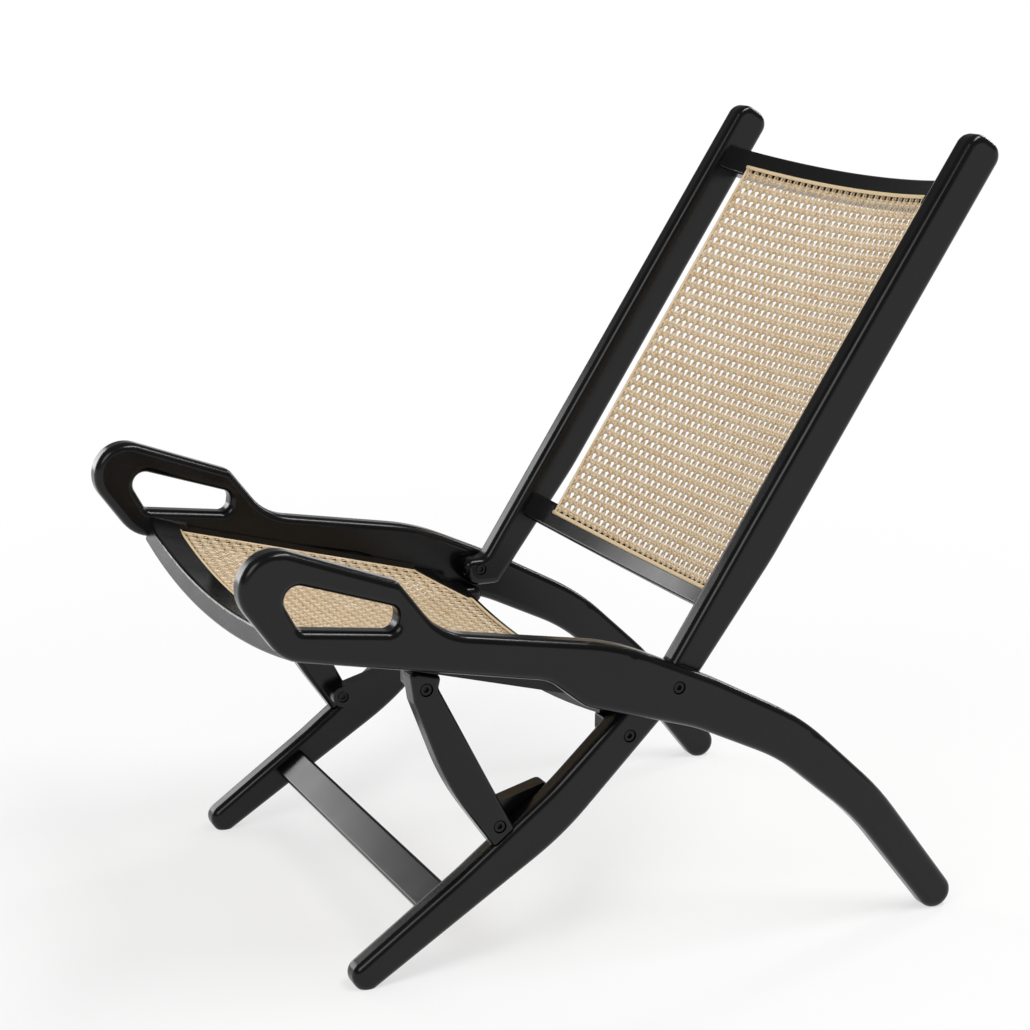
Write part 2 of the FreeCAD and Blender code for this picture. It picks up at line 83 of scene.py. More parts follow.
class CaneSizes(bpy.types.PropertyGroup):
    """Sizes of the six-way woven cane"""
    mesh: FloatProperty(name="Mesh", description="Distance between two eyes of the weave",
                        default=0.012, unit="LENGTH")
    pair_gap: FloatProperty(name="Pair Spacing", description="Distance between the two strands of a pair",
                            default=0.0025, unit="LENGTH")
    strand_width: FloatProperty(name="Strand Width", description="Width of the straight strands",
                                default=0.0022, unit="LENGTH")
    diagonal_width: FloatProperty(name="Diagonal Width", description="Width of the diagonal strands",
                                  default=0.0027, unit="LENGTH")
    strand_thickness: FloatProperty(name="Strand Thickness", description="Thickness of every strand",
                                    default=0.0013, unit="LENGTH")
    binder_width: FloatProperty(name="Binder Width", description="Width of the strands that bind a free edge",
                                default=0.0034, unit="LENGTH")
    stitch_width: FloatProperty(name="Stitch Width", description="Width of the stitches round the binders",
                                default=0.001728, unit="LENGTH")
    depth: FloatProperty(name="Depth", description="Middle of the weave below the top of the rails",
                         default=0.0034, unit="LENGTH")


class ReedSizes(bpy.types.PropertyGroup):
    """Sizes of the reed that holds the ends of the cane in its rebates"""
    width: FloatProperty(name="Width", description="Width of the reed", default=0.0043, unit="LENGTH")
    thickness: FloatProperty(name="Thickness", description="Thickness of the reed", default=0.0024,
                             unit="LENGTH")
    inset: FloatProperty(name="Inset", description="Middle of the reed from the end of the cane",
                         default=0.00225, unit="LENGTH")
    depth: FloatProperty(name="Depth", description="Middle of the reed below the top of the rails",
                         default=0.0011, unit="LENGTH")
    end_gap: FloatProperty(name="End Gap", description="Room beside each end of the reed", default=0.0003,
                           unit="LENGTH")


class SeatPlace(bpy.types.PropertyGroup):
    """Where the seat's cane lies"""
    front_y: FloatProperty(name="Front Y", description="Top front edge of the front rail along the depth",
                           default=-0.32475, unit="LENGTH")
    front_z: FloatProperty(name="Front Z", description="Height of the front rail's top in the middle",
                           default=0.318, unit="LENGTH")
    slope: FloatProperty(name="Slope", description="Angle that the seat falls towards the back",
                         default=math.radians(-14.4), subtype="ANGLE")
    half: FloatProperty(name="Half Width", description="Half the width of the cane", default=0.2288,
                        unit="LENGTH")
    sag: FloatProperty(name="Sag", description="How far the middle hangs below the free edges",
                       default=0.01912, unit="LENGTH")
    start: FloatProperty(name="Start", description="Front end of the cane, from the front edge",
                         default=0.03015, unit="LENGTH")
    end: FloatProperty(name="End", description="Rear end of the cane, from the front edge",
                       default=0.34485, unit="LENGTH")
    corner_width: FloatProperty(name="Corner Width", description="Width that each rear corner is cut off",
                                default=0.074, unit="LENGTH")
    corner_length: FloatProperty(name="Corner Length", description="Length that each rear corner is cut off",
                                 default=0.045, unit="LENGTH")
    level: FloatProperty(name="Level", description="Height of the rails' top in the middle", default=0.0,
                         unit="LENGTH")


class BackPlace(bpy.types.PropertyGroup):
    """Where the back's cane lies, measured from the pivot along the posts"""
    front_y: FloatProperty(name="Pivot Y", description="Pivot along the depth", default=PIVOT[1],
                           unit="LENGTH")
    front_z: FloatProperty(name="Pivot Z", description="Height of the pivot", default=PIVOT[2],
                           unit="LENGTH")
    slope: FloatProperty(name="Lean", description="Angle of the posts above the floor",
                         default=math.radians(58.1), subtype="ANGLE")
    half: FloatProperty(name="Half Width", description="Half the width of the cane", default=0.173,
                        unit="LENGTH")
    sag: FloatProperty(name="Bow", description="How far the middle lies behind the free edges",
                       default=0.01397, unit="LENGTH")
    start: FloatProperty(name="Start", description="Lower end of the cane", default=0.09015, unit="LENGTH")
    end: FloatProperty(name="End", description="Upper end of the cane", default=0.51725, unit="LENGTH")
    corner_width: FloatProperty(name="Corner Width", description="Width that each upper corner is cut off",
                                default=0.0, unit="LENGTH")
    corner_length: FloatProperty(name="Corner Length", description="Length that each upper corner is cut off",
                                 default=0.0, unit="LENGTH")
    level: FloatProperty(name="Level", description="Front of the rails in the middle", default=-0.037,
                         unit="LENGTH")


class FinishColours(bpy.types.PropertyGroup):
    """Colours of the finishes, as sRGB hex values"""
    lacquer: StringProperty(name="Lacquer", description="Black lacquer over beech", default="#0B0B0C")
    cane_pale: StringProperty(name="Pale Cane", description="Skin of the palest strands", default="#F2E3C8")
    cane_honey: StringProperty(name="Honey Cane", description="Skin of the darkest strands",
                               default="#DEC39B")
    cane_mark: StringProperty(name="Cane Marks", description="Leaf scars and streaks in the skin",
                              default="#A97B45")
    skin_shade: FloatProperty(name="Skin Shade", description="Brightness of strands split from the skin",
                              default=1.06)
    # the diagonals' brightness is painted shade, which darkens them for the shadows that fall between the
    # strands
    diagonal_painted_shade: FloatProperty(name="Inner Shade", description="Brightness of strands split nearer the core",
                               default=0.76)
    reed: StringProperty(name="Reed", description="Round reed in the rebates", default="#E3CCA4")
    steel: StringProperty(name="Steel", description="Black oxide on the bolts", default="#1B1C1E")
    nylon: StringProperty(name="Nylon", description="Washers at the pivot", default="#1A1A1A")
    floor: StringProperty(name="Floor", description="Studio floor", default="#F6F6F6")
    room: StringProperty(name="Room", description="Studio walls above the floor", default="#767676")


class StageSizes(bpy.types.PropertyGroup):
    """The studio and its camera"""
    azimuth: FloatProperty(name="Azimuth", description="Camera's turn round the chair from the front",
                           default=math.radians(67.9), subtype="ANGLE")
    elevation: FloatProperty(name="Elevation", description="Camera's height angle",
                             default=math.radians(14.6), subtype="ANGLE")
    distance: FloatProperty(name="Distance", description="Camera to the middle of the seat frame",
                            default=2.39, unit="LENGTH")
    target: FloatVectorProperty(name="Target", description="Point that the camera looks at",
                                default=(0.0, -0.077, 0.312), subtype="XYZ")
    lens: FloatProperty(name="Lens", description="Focal length in millimetres on a 36 mm sensor",
                        default=85.0)
    shift_x: FloatProperty(name="Shift X", description="Sideways shift of the frame", default=0.06)
    shift_y: FloatProperty(name="Shift Y", description="Upward shift of the frame", default=0.06)
    floor_size: FloatProperty(name="Floor Size", description="Side of the floor", default=14.0,
                              unit="LENGTH")
    world_strength: FloatProperty(name="World Strength", description="Soft light from all round",
                                  default=0.45)


def paint(code):
    """Linear RGBA of an sRGB hex colour."""
    channels = [int(code[i:i + 2], 16) / 255 for i in (1, 3, 5)]
    linear = [c / 12.92 if c <= 0.04045 else ((c + 0.055) / 1.055) ** 2.4 for c in channels]
    return (*linear, 1.0)


def add_node(tree, kind, inputs=None, **settings):
    """Add a node, set it up, and link or fill the inputs that are named."""
    node = tree.nodes.new(kind)
    for key, value in settings.items():
        setattr(node, key, value)
    for key, value in (inputs or {}).items():
        socket = node.inputs[key]
        if isinstance(value, bpy.types.NodeSocket):
            tree.links.new(value, socket)
        else:
            socket.default_value = value
    return node


def new_material(name):
    """An empty material and its node tree."""
    material = bpy.data.materials.new(name)
    material.use_nodes = True
    material.node_tree.nodes.clear()
    return material, material.node_tree


def finish_material(tree, shader):
    """Show the shader on the surface."""
    add_node(tree, "ShaderNodeOutputMaterial", {"Surface": shader.outputs[0]})


def lacquered_beech(name, turn):
    """Black lacquer sprayed and polished on beech: a gloss skin that keeps a trace of the long pores."""
    material, tree = new_material(name)
    place = add_node(tree, "ShaderNodeTexCoord")
    lie = add_node(tree, "ShaderNodeMapping", {"Vector": place.outputs["Object"], "Rotation": turn})
    # beech pores about 0.5 mm wide and 12 mm long, drawn twice as large so that they show
    along = add_node(tree, "ShaderNodeMapping", {"Vector": lie.outputs[0], "Scale": (900.0, 40.0, 900.0)})
    pores = add_node(tree, "ShaderNodeTexNoise", {"Vector": along.outputs[0], "Scale": 1.0, "Detail": 3.0})
    # spray ripple, 6 mm from crest to crest
    ripple = add_node(tree, "ShaderNodeTexNoise", {"Vector": lie.outputs[0], "Scale": 160.0, "Detail": 1.0})
    # polish that varies over some 45 mm
    smudge = add_node(tree, "ShaderNodeTexNoise", {"Vector": lie.outputs[0], "Scale": 22.0, "Detail": 4.0})
    tone = add_node(tree, "ShaderNodeMapRange", {
        "Value": smudge.outputs["Fac"], "From Min": 0.3, "From Max": 0.7, "To Min": 0.82, "To Max": 1.2})
    lacquer = paint(bpy.context.scene.chair_colours.lacquer)[:3]
    colour = add_node(tree, "ShaderNodeVectorMath", {0: lacquer, "Scale": tone.outputs[0]},
                      operation="SCALE")
    gloss = add_node(tree, "ShaderNodeMapRange", {
        "Value": smudge.outputs["Fac"], "From Min": 0.3, "From Max": 0.7, "To Min": 0.17, "To Max": 0.24})
    pits = add_node(tree, "ShaderNodeBump", {
        "Height": pores.outputs["Fac"], "Strength": 0.012, "Distance": 0.00025})
    skin = add_node(tree, "ShaderNodeBump", {
        "Height": ripple.outputs["Fac"], "Strength": 0.025, "Distance": 0.0004, "Normal": pits.outputs[0]})
    shader = add_node(tree, "ShaderNodeBsdfPrincipled", {
        "Base Color": colour.outputs[0], "Roughness": gloss.outputs[0], "IOR": 1.37,
        "Normal": skin.outputs[0]})
    finish_material(tree, shader)
    return material


def split_rattan(name, shade):
    """Machine-split rattan skin: pale, with a dull gloss, fine fibres and scattered leaf scars."""
    colours = bpy.context.scene.chair_colours
    material, tree = new_material(name)
    lie = add_node(tree, "ShaderNodeAttribute", attribute_name="grain")
    # one tone for each numbered strand, which drifts over about 60 mm; the scale of the number takes
    # each to a far place in the noise
    drift = add_node(tree, "ShaderNodeMapping", {
        "Vector": lie.outputs["Vector"], "Scale": (0.0, 16.0, 7.13)})
    strand_tone = add_node(tree, "ShaderNodeTexNoise", {
        "Vector": drift.outputs[0], "Scale": 1.0, "Detail": 2.0})
    tone = add_node(tree, "ShaderNodeMapRange", {
        "Value": strand_tone.outputs["Fac"], "From Min": 0.3, "From Max": 0.7})
    # fibres 0.25 mm wide that run for about 15 mm
    fine = add_node(tree, "ShaderNodeMapping", {
        "Vector": lie.outputs["Vector"], "Scale": (4000.0, 66.0, 3.1)})
    fibre = add_node(tree, "ShaderNodeTexNoise", {"Vector": fine.outputs[0], "Scale": 1.0, "Detail": 2.0})
    # leaf scars, some 3 mm long, a few to each strand
    spots = add_node(tree, "ShaderNodeMapping", {
        "Vector": lie.outputs["Vector"], "Scale": (150.0, 190.0, 5.7)})
    scar = add_node(tree, "ShaderNodeTexNoise", {"Vector": spots.outputs[0], "Scale": 1.0, "Detail": 1.0})
    marks = add_node(tree, "ShaderNodeMapRange", {
        "Value": scar.outputs["Fac"], "From Min": 0.64, "From Max": 0.76, "To Max": 0.55})
    # the three inputs are the share, and the colours at shares of 0 and 1
    base = add_node(tree, "ShaderNodeMix", {
        0: tone.outputs[0], 6: paint(colours.cane_honey), 7: paint(colours.cane_pale)}, data_type="RGBA")
    streak = add_node(tree, "ShaderNodeMapRange", {
        "Value": fibre.outputs["Fac"], "From Min": 0.35, "From Max": 0.7, "To Min": 0.0, "To Max": 0.3})
    grained = add_node(tree, "ShaderNodeMix", {
        0: streak.outputs[0], 6: base.outputs[2], 7: paint(colours.cane_honey)},
        data_type="RGBA", blend_type="MULTIPLY")
    marked = add_node(tree, "ShaderNodeMix", {
        0: marks.outputs[0], 6: grained.outputs[2], 7: paint(colours.cane_mark)}, data_type="RGBA")
    # the colour is scaled by the shade; for the diagonals this is painted shade, darker for the shadows
    # between the strands
    shaded = add_node(tree, "ShaderNodeVectorMath", {0: marked.outputs[2], "Scale": shade},
                      operation="SCALE")
    relief = add_node(tree, "ShaderNodeBump", {
        "Height": fibre.outputs["Fac"], "Strength": 0.35, "Distance": 0.0001})
    shader = add_node(tree, "ShaderNodeBsdfPrincipled", {
        "Base Color": shaded.outputs[0], "Roughness": 0.42, "IOR": 1.5, "Normal": relief.outputs[0]})
    finish_material(tree, shader)
    return material


def pressed_reed(name):
    """Rattan core reed, soaked and pressed into its groove: matt, even and without leaf scars."""
    material, tree = new_material(name)
    lie = add_node(tree, "ShaderNodeAttribute", attribute_name="grain")
    # open fibres 0.3 mm wide that run for about 20 mm
    fine = add_node(tree, "ShaderNodeMapping", {
        "Vector": lie.outputs["Vector"], "Scale": (3300.0, 50.0, 1.0)})
    fibre = add_node(tree, "ShaderNodeTexNoise", {"Vector": fine.outputs[0], "Scale": 1.0, "Detail": 2.0})
    tone = add_node(tree, "ShaderNodeMapRange", {
        "Value": fibre.outputs["Fac"], "From Min": 0.3, "From Max": 0.7, "To Min": 0.88, "To Max": 1.04})
    core = paint(bpy.context.scene.chair_colours.reed)[:3]
    colour = add_node(tree, "ShaderNodeVectorMath", {0: core, "Scale": tone.outputs[0]}, operation="SCALE")
    relief = add_node(tree, "ShaderNodeBump", {
        "Height": fibre.outputs["Fac"], "Strength": 0.4, "Distance": 0.0001})
    shader = add_node(tree, "ShaderNodeBsdfPrincipled", {
        "Base Color": colour.outputs[0], "Roughness": 0.55, "IOR": 1.45, "Normal": relief.outputs[0]})
    finish_material(tree, shader)
    return material


def blackened_steel(name):
    """Steel bolts with black oxide: dark, oily, worn a little brighter on the high spots."""
    material, tree = new_material(name)
    place = add_node(tree, "ShaderNodeTexCoord")
    # stains some 4 mm wide, and turning marks 0.6 mm apart
    stain = add_node(tree, "ShaderNodeTexNoise", {
        "Vector": place.outputs["Object"], "Scale": 260.0, "Detail": 3.0})
    scratch = add_node(tree, "ShaderNodeTexNoise", {"Vector": place.outputs["Object"], "Scale": 1600.0})
    gloss = add_node(tree, "ShaderNodeMapRange", {
        "Value": stain.outputs["Fac"], "To Min": 0.28, "To Max": 0.5})
    relief = add_node(tree, "ShaderNodeBump", {
        "Height": scratch.outputs["Fac"], "Strength": 0.15, "Distance": 0.0001})
    shader = add_node(tree, "ShaderNodeBsdfPrincipled", {
        "Base Color": paint(bpy.context.scene.chair_colours.steel), "Metallic": 0.6,
        "Roughness": gloss.outputs[0], "Normal": relief.outputs[0]})
    finish_material(tree, shader)
    return material


def moulded_nylon(name):
    """Black moulded nylon washers with a fine matt skin."""
    material, tree = new_material(name)
    place = add_node(tree, "ShaderNodeTexCoord")
    # spark-eroded mould skin, 0.5 mm from pit to pit
    skin = add_node(tree, "ShaderNodeTexNoise", {"Vector": place.outputs["Object"], "Scale": 2000.0})
    gloss = add_node(tree, "ShaderNodeMapRange", {
        "Value": skin.outputs["Fac"], "To Min": 0.45, "To Max": 0.6})
    relief = add_node(tree, "ShaderNodeBump", {
        "Height": skin.outputs["Fac"], "Strength": 0.2, "Distance": 0.0001})
    shader = add_node(tree, "ShaderNodeBsdfPrincipled", {
        "Base Color": paint(bpy.context.scene.chair_colours.nylon), "Roughness": gloss.outputs[0],
        "IOR": 1.53, "Normal": relief.outputs[0]})
    finish_material(tree, shader)
    return material


def backdrop_share(tree):
    """1 where the camera sees the surface, straight or by way of gloss and glass, and otherwise 0."""
    path = add_node(tree, "ShaderNodeLightPath")
    seen = add_node(tree, "ShaderNodeMath", {
        0: path.outputs["Is Camera Ray"], 1: path.outputs["Is Glossy Ray"]}, operation="MAXIMUM")
    seen = add_node(tree, "ShaderNodeMath", {
        0: seen.outputs[0], 1: path.outputs["Is Transmission Ray"]}, operation="MAXIMUM")
    return seen.outputs[0]


def studio_paper(name):
    """Matt white paper: it keeps the chair's shadow, and the sweep runs out into white."""
    material, tree = new_material(name)
    seen = backdrop_share(tree)
    # the shadow near the feet stays, and all is white 2 m away
    place = add_node(tree, "ShaderNodeTexCoord")
    reach = add_node(tree, "ShaderNodeVectorMath", {0: place.outputs["Object"]}, operation="LENGTH")
    fade = add_node(tree, "ShaderNodeMapRange", {
        "Value": reach.outputs["Value"], "From Min": 0.5, "From Max": 2.0, "To Min": 0.62, "To Max": 1.0},
        interpolation_type="SMOOTHSTEP")
    share = add_node(tree, "ShaderNodeMath", {0: seen, 1: fade.outputs[0]}, operation="MULTIPLY")
    matt = add_node(tree, "ShaderNodeBsdfDiffuse", {"Color": paint(bpy.context.scene.chair_colours.floor)})
    glow = add_node(tree, "ShaderNodeEmission", {"Color": WHITE, "Strength": 1.0})
    paper = add_node(tree, "ShaderNodeMixShader", {
        0: share.outputs[0], 1: matt.outputs[0], 2: glow.outputs[0]})
    finish_material(tree, paper)
    return material


def get_material(maker, name, *rest):
    """The material of that name, made the first time that it is asked for."""
    return bpy.data.materials.get(name) or maker(name, *rest)


def coat(piece, material):
    """Give a piece one material all over."""
    piece.data.materials.clear()
    piece.data.materials.append(material)


def make_only(piece):
    """Make a piece the only one that is selected."""
    bpy.ops.object.select_all(action="DESELECT")
    bpy.context.view_layer.objects.active = piece
    piece.select_set(True)


def read_points(piece):
    """The points of a piece, one row each."""
    points = np.empty(len(piece.data.vertices) * 3)
    piece.data.vertices.foreach_get("co", points)
    return points.reshape(-1, 3)


def write_points(piece, points):
    """Move the points of a piece to new places."""
    piece.data.vertices.foreach_set("co", points.ravel())
    piece.data.update()


def dish_radius(panel):
    """Radius of the arc that a panel follows across its width."""
    return (panel.half ** 2 + panel.sag ** 2) / (2 * panel.sag)


def flat_half(panel):
    """Half the width of a panel before it is bent."""
    radius = dish_radius(panel)
    return radius * math.asin(panel.half / radius)


def spaced(length, steps):
    """Stations along a length, evenly spaced about its middle."""
    return [length * (k / steps - 0.5) for k in range(steps + 1)]


def half_round(width, thickness):
    """Section of a split strand: flat below and crowned above, as (across, up) from its middle."""
    flat = 0.4 * width
    shoulder = 0.08 * thickness
    return [(0.0, 0.5 * thickness), (-0.5 * width, shoulder), (-flat, -0.5 * thickness),
            (flat, -0.5 * thickness), (0.5 * width, shoulder)]


def pressed_round(width, thickness):
    """Section of a round reed pressed into its groove: wide, with a flattened underside."""
    sides = 10
    flattened = 0.9
    section = []
    for k in range(sides):
        turn = -FULL_TURN * k / sides
        up = 0.5 * thickness * math.cos(turn)
        section.append((0.5 * width * math.sin(turn), up if up > 0 else flattened * up))
    return section


def level_rise(station):
    """A strand that lies flat from end to end."""
    return 0.0


def strand(name, section, stations, rise=level_rise):
    """A length of strand along Y, with rings at the stations, lifted at each by the rise."""
    bpy.ops.object.select_all(action="DESELECT")
    sides = len(section)
    bpy.ops.mesh.primitive_cylinder_add(vertices=sides, radius=1.0, depth=2.0, end_fill_type="NOTHING",
                                        rotation=(QUARTER_TURN, 0.0, 0.0))
    piece = bpy.context.object
    piece.name = piece.data.name = name
    bpy.ops.object.transform_apply(location=True, rotation=True, scale=True)
    bpy.ops.object.mode_set(mode="EDIT")
    bpy.ops.mesh.select_mode(type="EDGE")
    bpy.ops.mesh.select_all(action="DESELECT")
    bpy.ops.object.mode_set(mode="OBJECT")
    points = read_points(piece)
    for edge in piece.data.edges:
        a, b = edge.vertices
        # only the edges that run along the strand are divided
        edge.select = bool(abs(points[a][1] - points[b][1]) > 1.0)
    bpy.ops.object.mode_set(mode="EDIT")
    bpy.ops.mesh.subdivide(number_cuts=len(stations) - 2)
    bpy.ops.object.mode_set(mode="OBJECT")
    x, y, z = read_points(piece).T
    corner = np.round(np.arctan2(x, z) / FULL_TURN * sides).astype(int) % sides
    ring = np.round((y + 1) / 2 * (len(stations) - 1)).astype(int)
    shape = np.array(section)
    along = np.array(stations)[ring]
    lift = np.array([rise(station) for station in stations])[ring]
    # the corners run round from straight up, so x is mirrored to keep the faces outwards
    write_points(piece, np.column_stack([-shape[corner, 0], along, shape[corner, 1] + lift]))
    return piece


def repeat(piece, offset, count):
    """Copy a piece along an offset, and weld the ends that meet."""
    make_only(piece)
    array = piece.modifiers.new("repeat", "ARRAY")
    array.use_relative_offset = False
    array.use_constant_offset = True
    array.constant_offset_displace = offset
    array.count = count
    array.use_merge_vertices = True
    array.merge_threshold = 0.00002
    bpy.ops.object.modifier_apply(modifier=array.name)


def join(pieces, name):
    """Join pieces into one."""
    bpy.ops.object.select_all(action="DESELECT")
    for piece in pieces:
        piece.select_set(True)
    bpy.context.view_layer.objects.active = pieces[0]
    bpy.ops.object.join()
    pieces[0].name = pieces[0].data.name = name
    return pieces[0]


def trim(piece, place, outwards):
    """Cut off what lies beyond a plane and close the cut ends."""
    make_only(piece)
    bpy.ops.object.mode_set(mode="EDIT")
    bpy.ops.mesh.select_all(action="SELECT")
    bpy.ops.mesh.bisect(plane_co=place, plane_no=outwards, clear_outer=True, use_fill=True)
    bpy.ops.object.mode_set(mode="OBJECT")


def turn_inside_out(piece):
    """Point the faces the other way, after the piece was mirrored."""
    make_only(piece)
    bpy.ops.object.mode_set(mode="EDIT")
    bpy.ops.mesh.select_all(action="SELECT")
    bpy.ops.mesh.flip_normals()
    bpy.ops.object.mode_set(mode="OBJECT")


def cut_corners(piece, panel, half):
    """Cut off the two corners of a flat piece that the panel leaves out."""
    if panel.corner_width:
        for side in (-1, 1):
            out = Vector((side * panel.corner_length, panel.corner_width, 0.0)).normalized()
            trim(piece, (side * half, panel.end - panel.corner_length, 0.0), out)


def mark_grain(piece, across, along, number):
    """Keep the flat lie and the number of every strand, so that its fibres follow it round the bends."""
    grain = np.column_stack([across, along, number]).astype(np.float32)
    layer = piece.data.attributes.new("grain", "FLOAT_VECTOR", "POINT")
    layer.data.foreach_set("vector", grain.ravel())


def lay_on(piece, panel):
    """Bend a flat piece over the dished panel, and stand it in its place."""
    x, along, z = read_points(piece).T
    radius = dish_radius(panel)
    angle = x / radius
    reach = radius - z
    across = reach * np.sin(angle)
    up = radius - reach * np.cos(angle) + panel.level
    c, s = math.cos(panel.slope), math.sin(panel.slope)
    write_points(piece, np.column_stack([across, panel.front_y + along * c - up * s,
                                         panel.front_z + along * s + up * c]))
    for polygon in piece.data.polygons:
        polygon.use_smooth = True


class Weave:
    """One panel of six-way weave, made flat: pairs along and across, diagonals, and bound edges."""

    # from the panel's edge to the ends of the strands, as a share of the binder's width
    STRAND_END = 0.4
    # from the panel's edge to the middle of the stitches, and half their reach, as such shares
    STITCH_MIDDLE = 0.53
    STITCH_REACH = 0.44
    # the binder's thickness, its middle above the weave's, and half the height of the stitches, as
    # shares of a strand's thickness
    BINDER_THICKNESS = 1.2
    BINDER_RISE = 1.1
    STITCH_RISE = 1.5
    # radius of a stitch's strand, as a share of the ring that the stitch makes
    STITCH_SLIMNESS = 0.24
    # where a strand gets one more ring between a pair and the middle of an eye, as a share of that way
    RING_BETWEEN = 0.45

    def __init__(self, panel, prefix):
        sizes = bpy.context.scene.chair_cane
        self.panel = panel
        self.prefix = prefix
        self.sizes = sizes
        self.mesh = sizes.mesh
        self.gap = sizes.pair_gap / 2
        self.thick = sizes.strand_thickness
        self.section = half_round(sizes.strand_width, self.thick)
        self.half = flat_half(panel)
        self.edge = self.half - self.STRAND_END * sizes.binder_width
        self.length = panel.end - panel.start
        self.middle = (panel.start + panel.end) / 2
        self.columns = int(self.edge // self.mesh)
        self.rows = int(self.length // self.mesh) + 1
        self.first_row = self.middle - (self.rows // 2) * self.mesh
        self.half_eye = self.mesh / 2 - self.gap
        between = self.gap + self.half_eye * self.RING_BETWEEN
        self.stations = [-self.mesh / 2, -between, -self.gap, self.gap, between, self.mesh / 2]

    def rise(self, v):
        """Height of a straight strand at v: under one strand of the pair that it crosses, over the other."""
        if abs(v) <= self.gap:
            return self.thick / 2 * math.sin(QUARTER_TURN * v / self.gap)
        return math.copysign(self.thick / 2 * math.cos(QUARTER_TURN * (abs(v) - self.gap) / self.half_eye), v)

    def pair_numbers(self, place):
        """Number of the pair that each point belongs to, from its place across the pairs."""
        return np.round((place + self.mesh) / self.mesh * 2)

    def trim_sides(self, piece):
        """Cut off what reaches past the free edges."""
        for out in (-1, 1):
            trim(piece, (out * self.edge, 0.0, 0.0), (out, 0.0, 0.0))

    def trim_ends(self, piece):
        """Cut off what reaches past the two rebates and the corners."""
        for place, out in ((self.panel.start, -1), (self.panel.end, 1)):
            trim(piece, (0.0, place, 0.0), (0.0, out, 0.0))
        cut_corners(piece, self.panel, self.edge)

    def warp(self):
        """Pairs along the panel, made a little too long and then trimmed."""
        mesh, name = self.mesh, self.prefix + "_warp"
        made = []
        for side in (-1, 1):
            piece = strand(name, self.section, self.stations, lambda v: -side * self.rise(v))
            start = (side * self.gap - self.columns * mesh, self.first_row - mesh, 0.0)
            write_points(piece, read_points(piece) + start)
            repeat(piece, (0.0, mesh, 0.0), self.rows + 2)
            repeat(piece, (mesh, 0.0, 0.0), 2 * self.columns + 1)
            made.append(piece)
        warp = join(made, name)
        self.trim_ends(warp)
        x, y, _ = read_points(warp).T
        mark_grain(warp, x, y, WARP_FROM + self.pair_numbers(x))
        return warp

    def weft(self):
        """Pairs across the panel, laced through the others."""
        mesh, name = self.mesh, self.prefix + "_weft"
        made = []
        for side in (-1, 1):
            piece = strand(name, self.section, self.stations, lambda v: side * self.rise(v))
            x, y, z = read_points(piece).T
            # turned a quarter: along becomes across
            start = (-(self.columns + 1) * mesh, self.first_row + side * self.gap, 0.0)
            write_points(piece, np.column_stack([y, -x, z]) + start)
            repeat(piece, (mesh, 0.0, 0.0), 2 * self.columns + 3)
            repeat(piece, (0.0, mesh, 0.0), self.rows)
            made.append(piece)
        weft = join(made, name)
        self.trim_sides(weft)
        self.trim_ends(weft)
        x, y, _ = read_points(weft).T
        mark_grain(weft, y, x, WEFT_FROM + self.pair_numbers(y))
        return weft

    def diagonals(self):
        """Single strands both ways, over the pairs of one way and under those of the other."""
        mesh, name = self.mesh, self.prefix + "_diagonal"
        long = mesh * math.sqrt(2)
        section = half_round(self.sizes.diagonal_width, self.thick)
        count = self.rows + 2
        c = math.sqrt(0.5)
        made = []
        for side in (-1, 1):
            piece = strand(name, section, spaced(long, steps=6),
                           lambda v: side * self.thick * math.cos(FULL_TURN * v / long))
            x, y, z = read_points(piece).T
            turned = np.column_stack([x * c + side * y * c, -side * x * c + y * c, z])
            # a row that leans to the right starts its own width further left
            start = -(self.columns + 1) * mesh - (count * mesh if side > 0 else 0.0)
            # each diagonal crosses the pairs along the panel midway between two pairs across it
            write_points(piece, turned + (start, self.first_row - 1.5 * mesh, 0.0))
            repeat(piece, (side * mesh, mesh, 0.0), count)
            repeat(piece, (mesh, 0.0, 0.0), 2 * self.columns + 3 + count)
            self.trim_sides(piece)
            self.trim_ends(piece)
            x, y, _ = read_points(piece).T
            mark_grain(piece, (x - side * y) * c, (y + side * x) * c,
                       DIAGONALS_FROM[side] + np.round((x - side * y) / mesh))
            made.append(piece)
        return join(made, self.prefix + "_diagonals")

    def binder(self, length, steps):
        """A binding strand along Y."""
        section = half_round(self.sizes.binder_width, self.thick * self.BINDER_THICKNESS)
        return strand(self.prefix + "_binder", section, spaced(length, steps))

    def corner_binder(self, side):
        """Binder along the slanting edge of a corner."""
        panel = self.panel
        piece = self.binder(math.hypot(panel.corner_width, panel.corner_length), steps=8)
        turn = side * math.atan2(panel.corner_width, panel.corner_length)
        c, s = math.cos(turn), math.sin(turn)
        inset = self.sizes.binder_width / 2
        x, y, z = read_points(piece).T
        turned = np.column_stack([x * c - y * s, x * s + y * c, z + self.thick * self.BINDER_RISE])
        middle = (side * (self.half - panel.corner_width / 2 - inset * abs(c)),
                  panel.end - panel.corner_length / 2 - inset * abs(s), 0.0)
        write_points(piece, turned + middle)
        return piece

    def edge_binder(self, side, face):
        """Binder along a free edge, on top of it or mirrored below it."""
        piece = self.binder(self.length, steps=24)
        x, y, z = read_points(piece).T
        raised = np.column_stack([x, y, face * (z + self.thick * self.BINDER_RISE)])
        write_points(piece, raised + (side * (self.half - self.sizes.binder_width / 2), self.middle, 0.0))
        if face < 0:
            turn_inside_out(piece)
        cut_corners(piece, self.panel, self.half)
        return piece

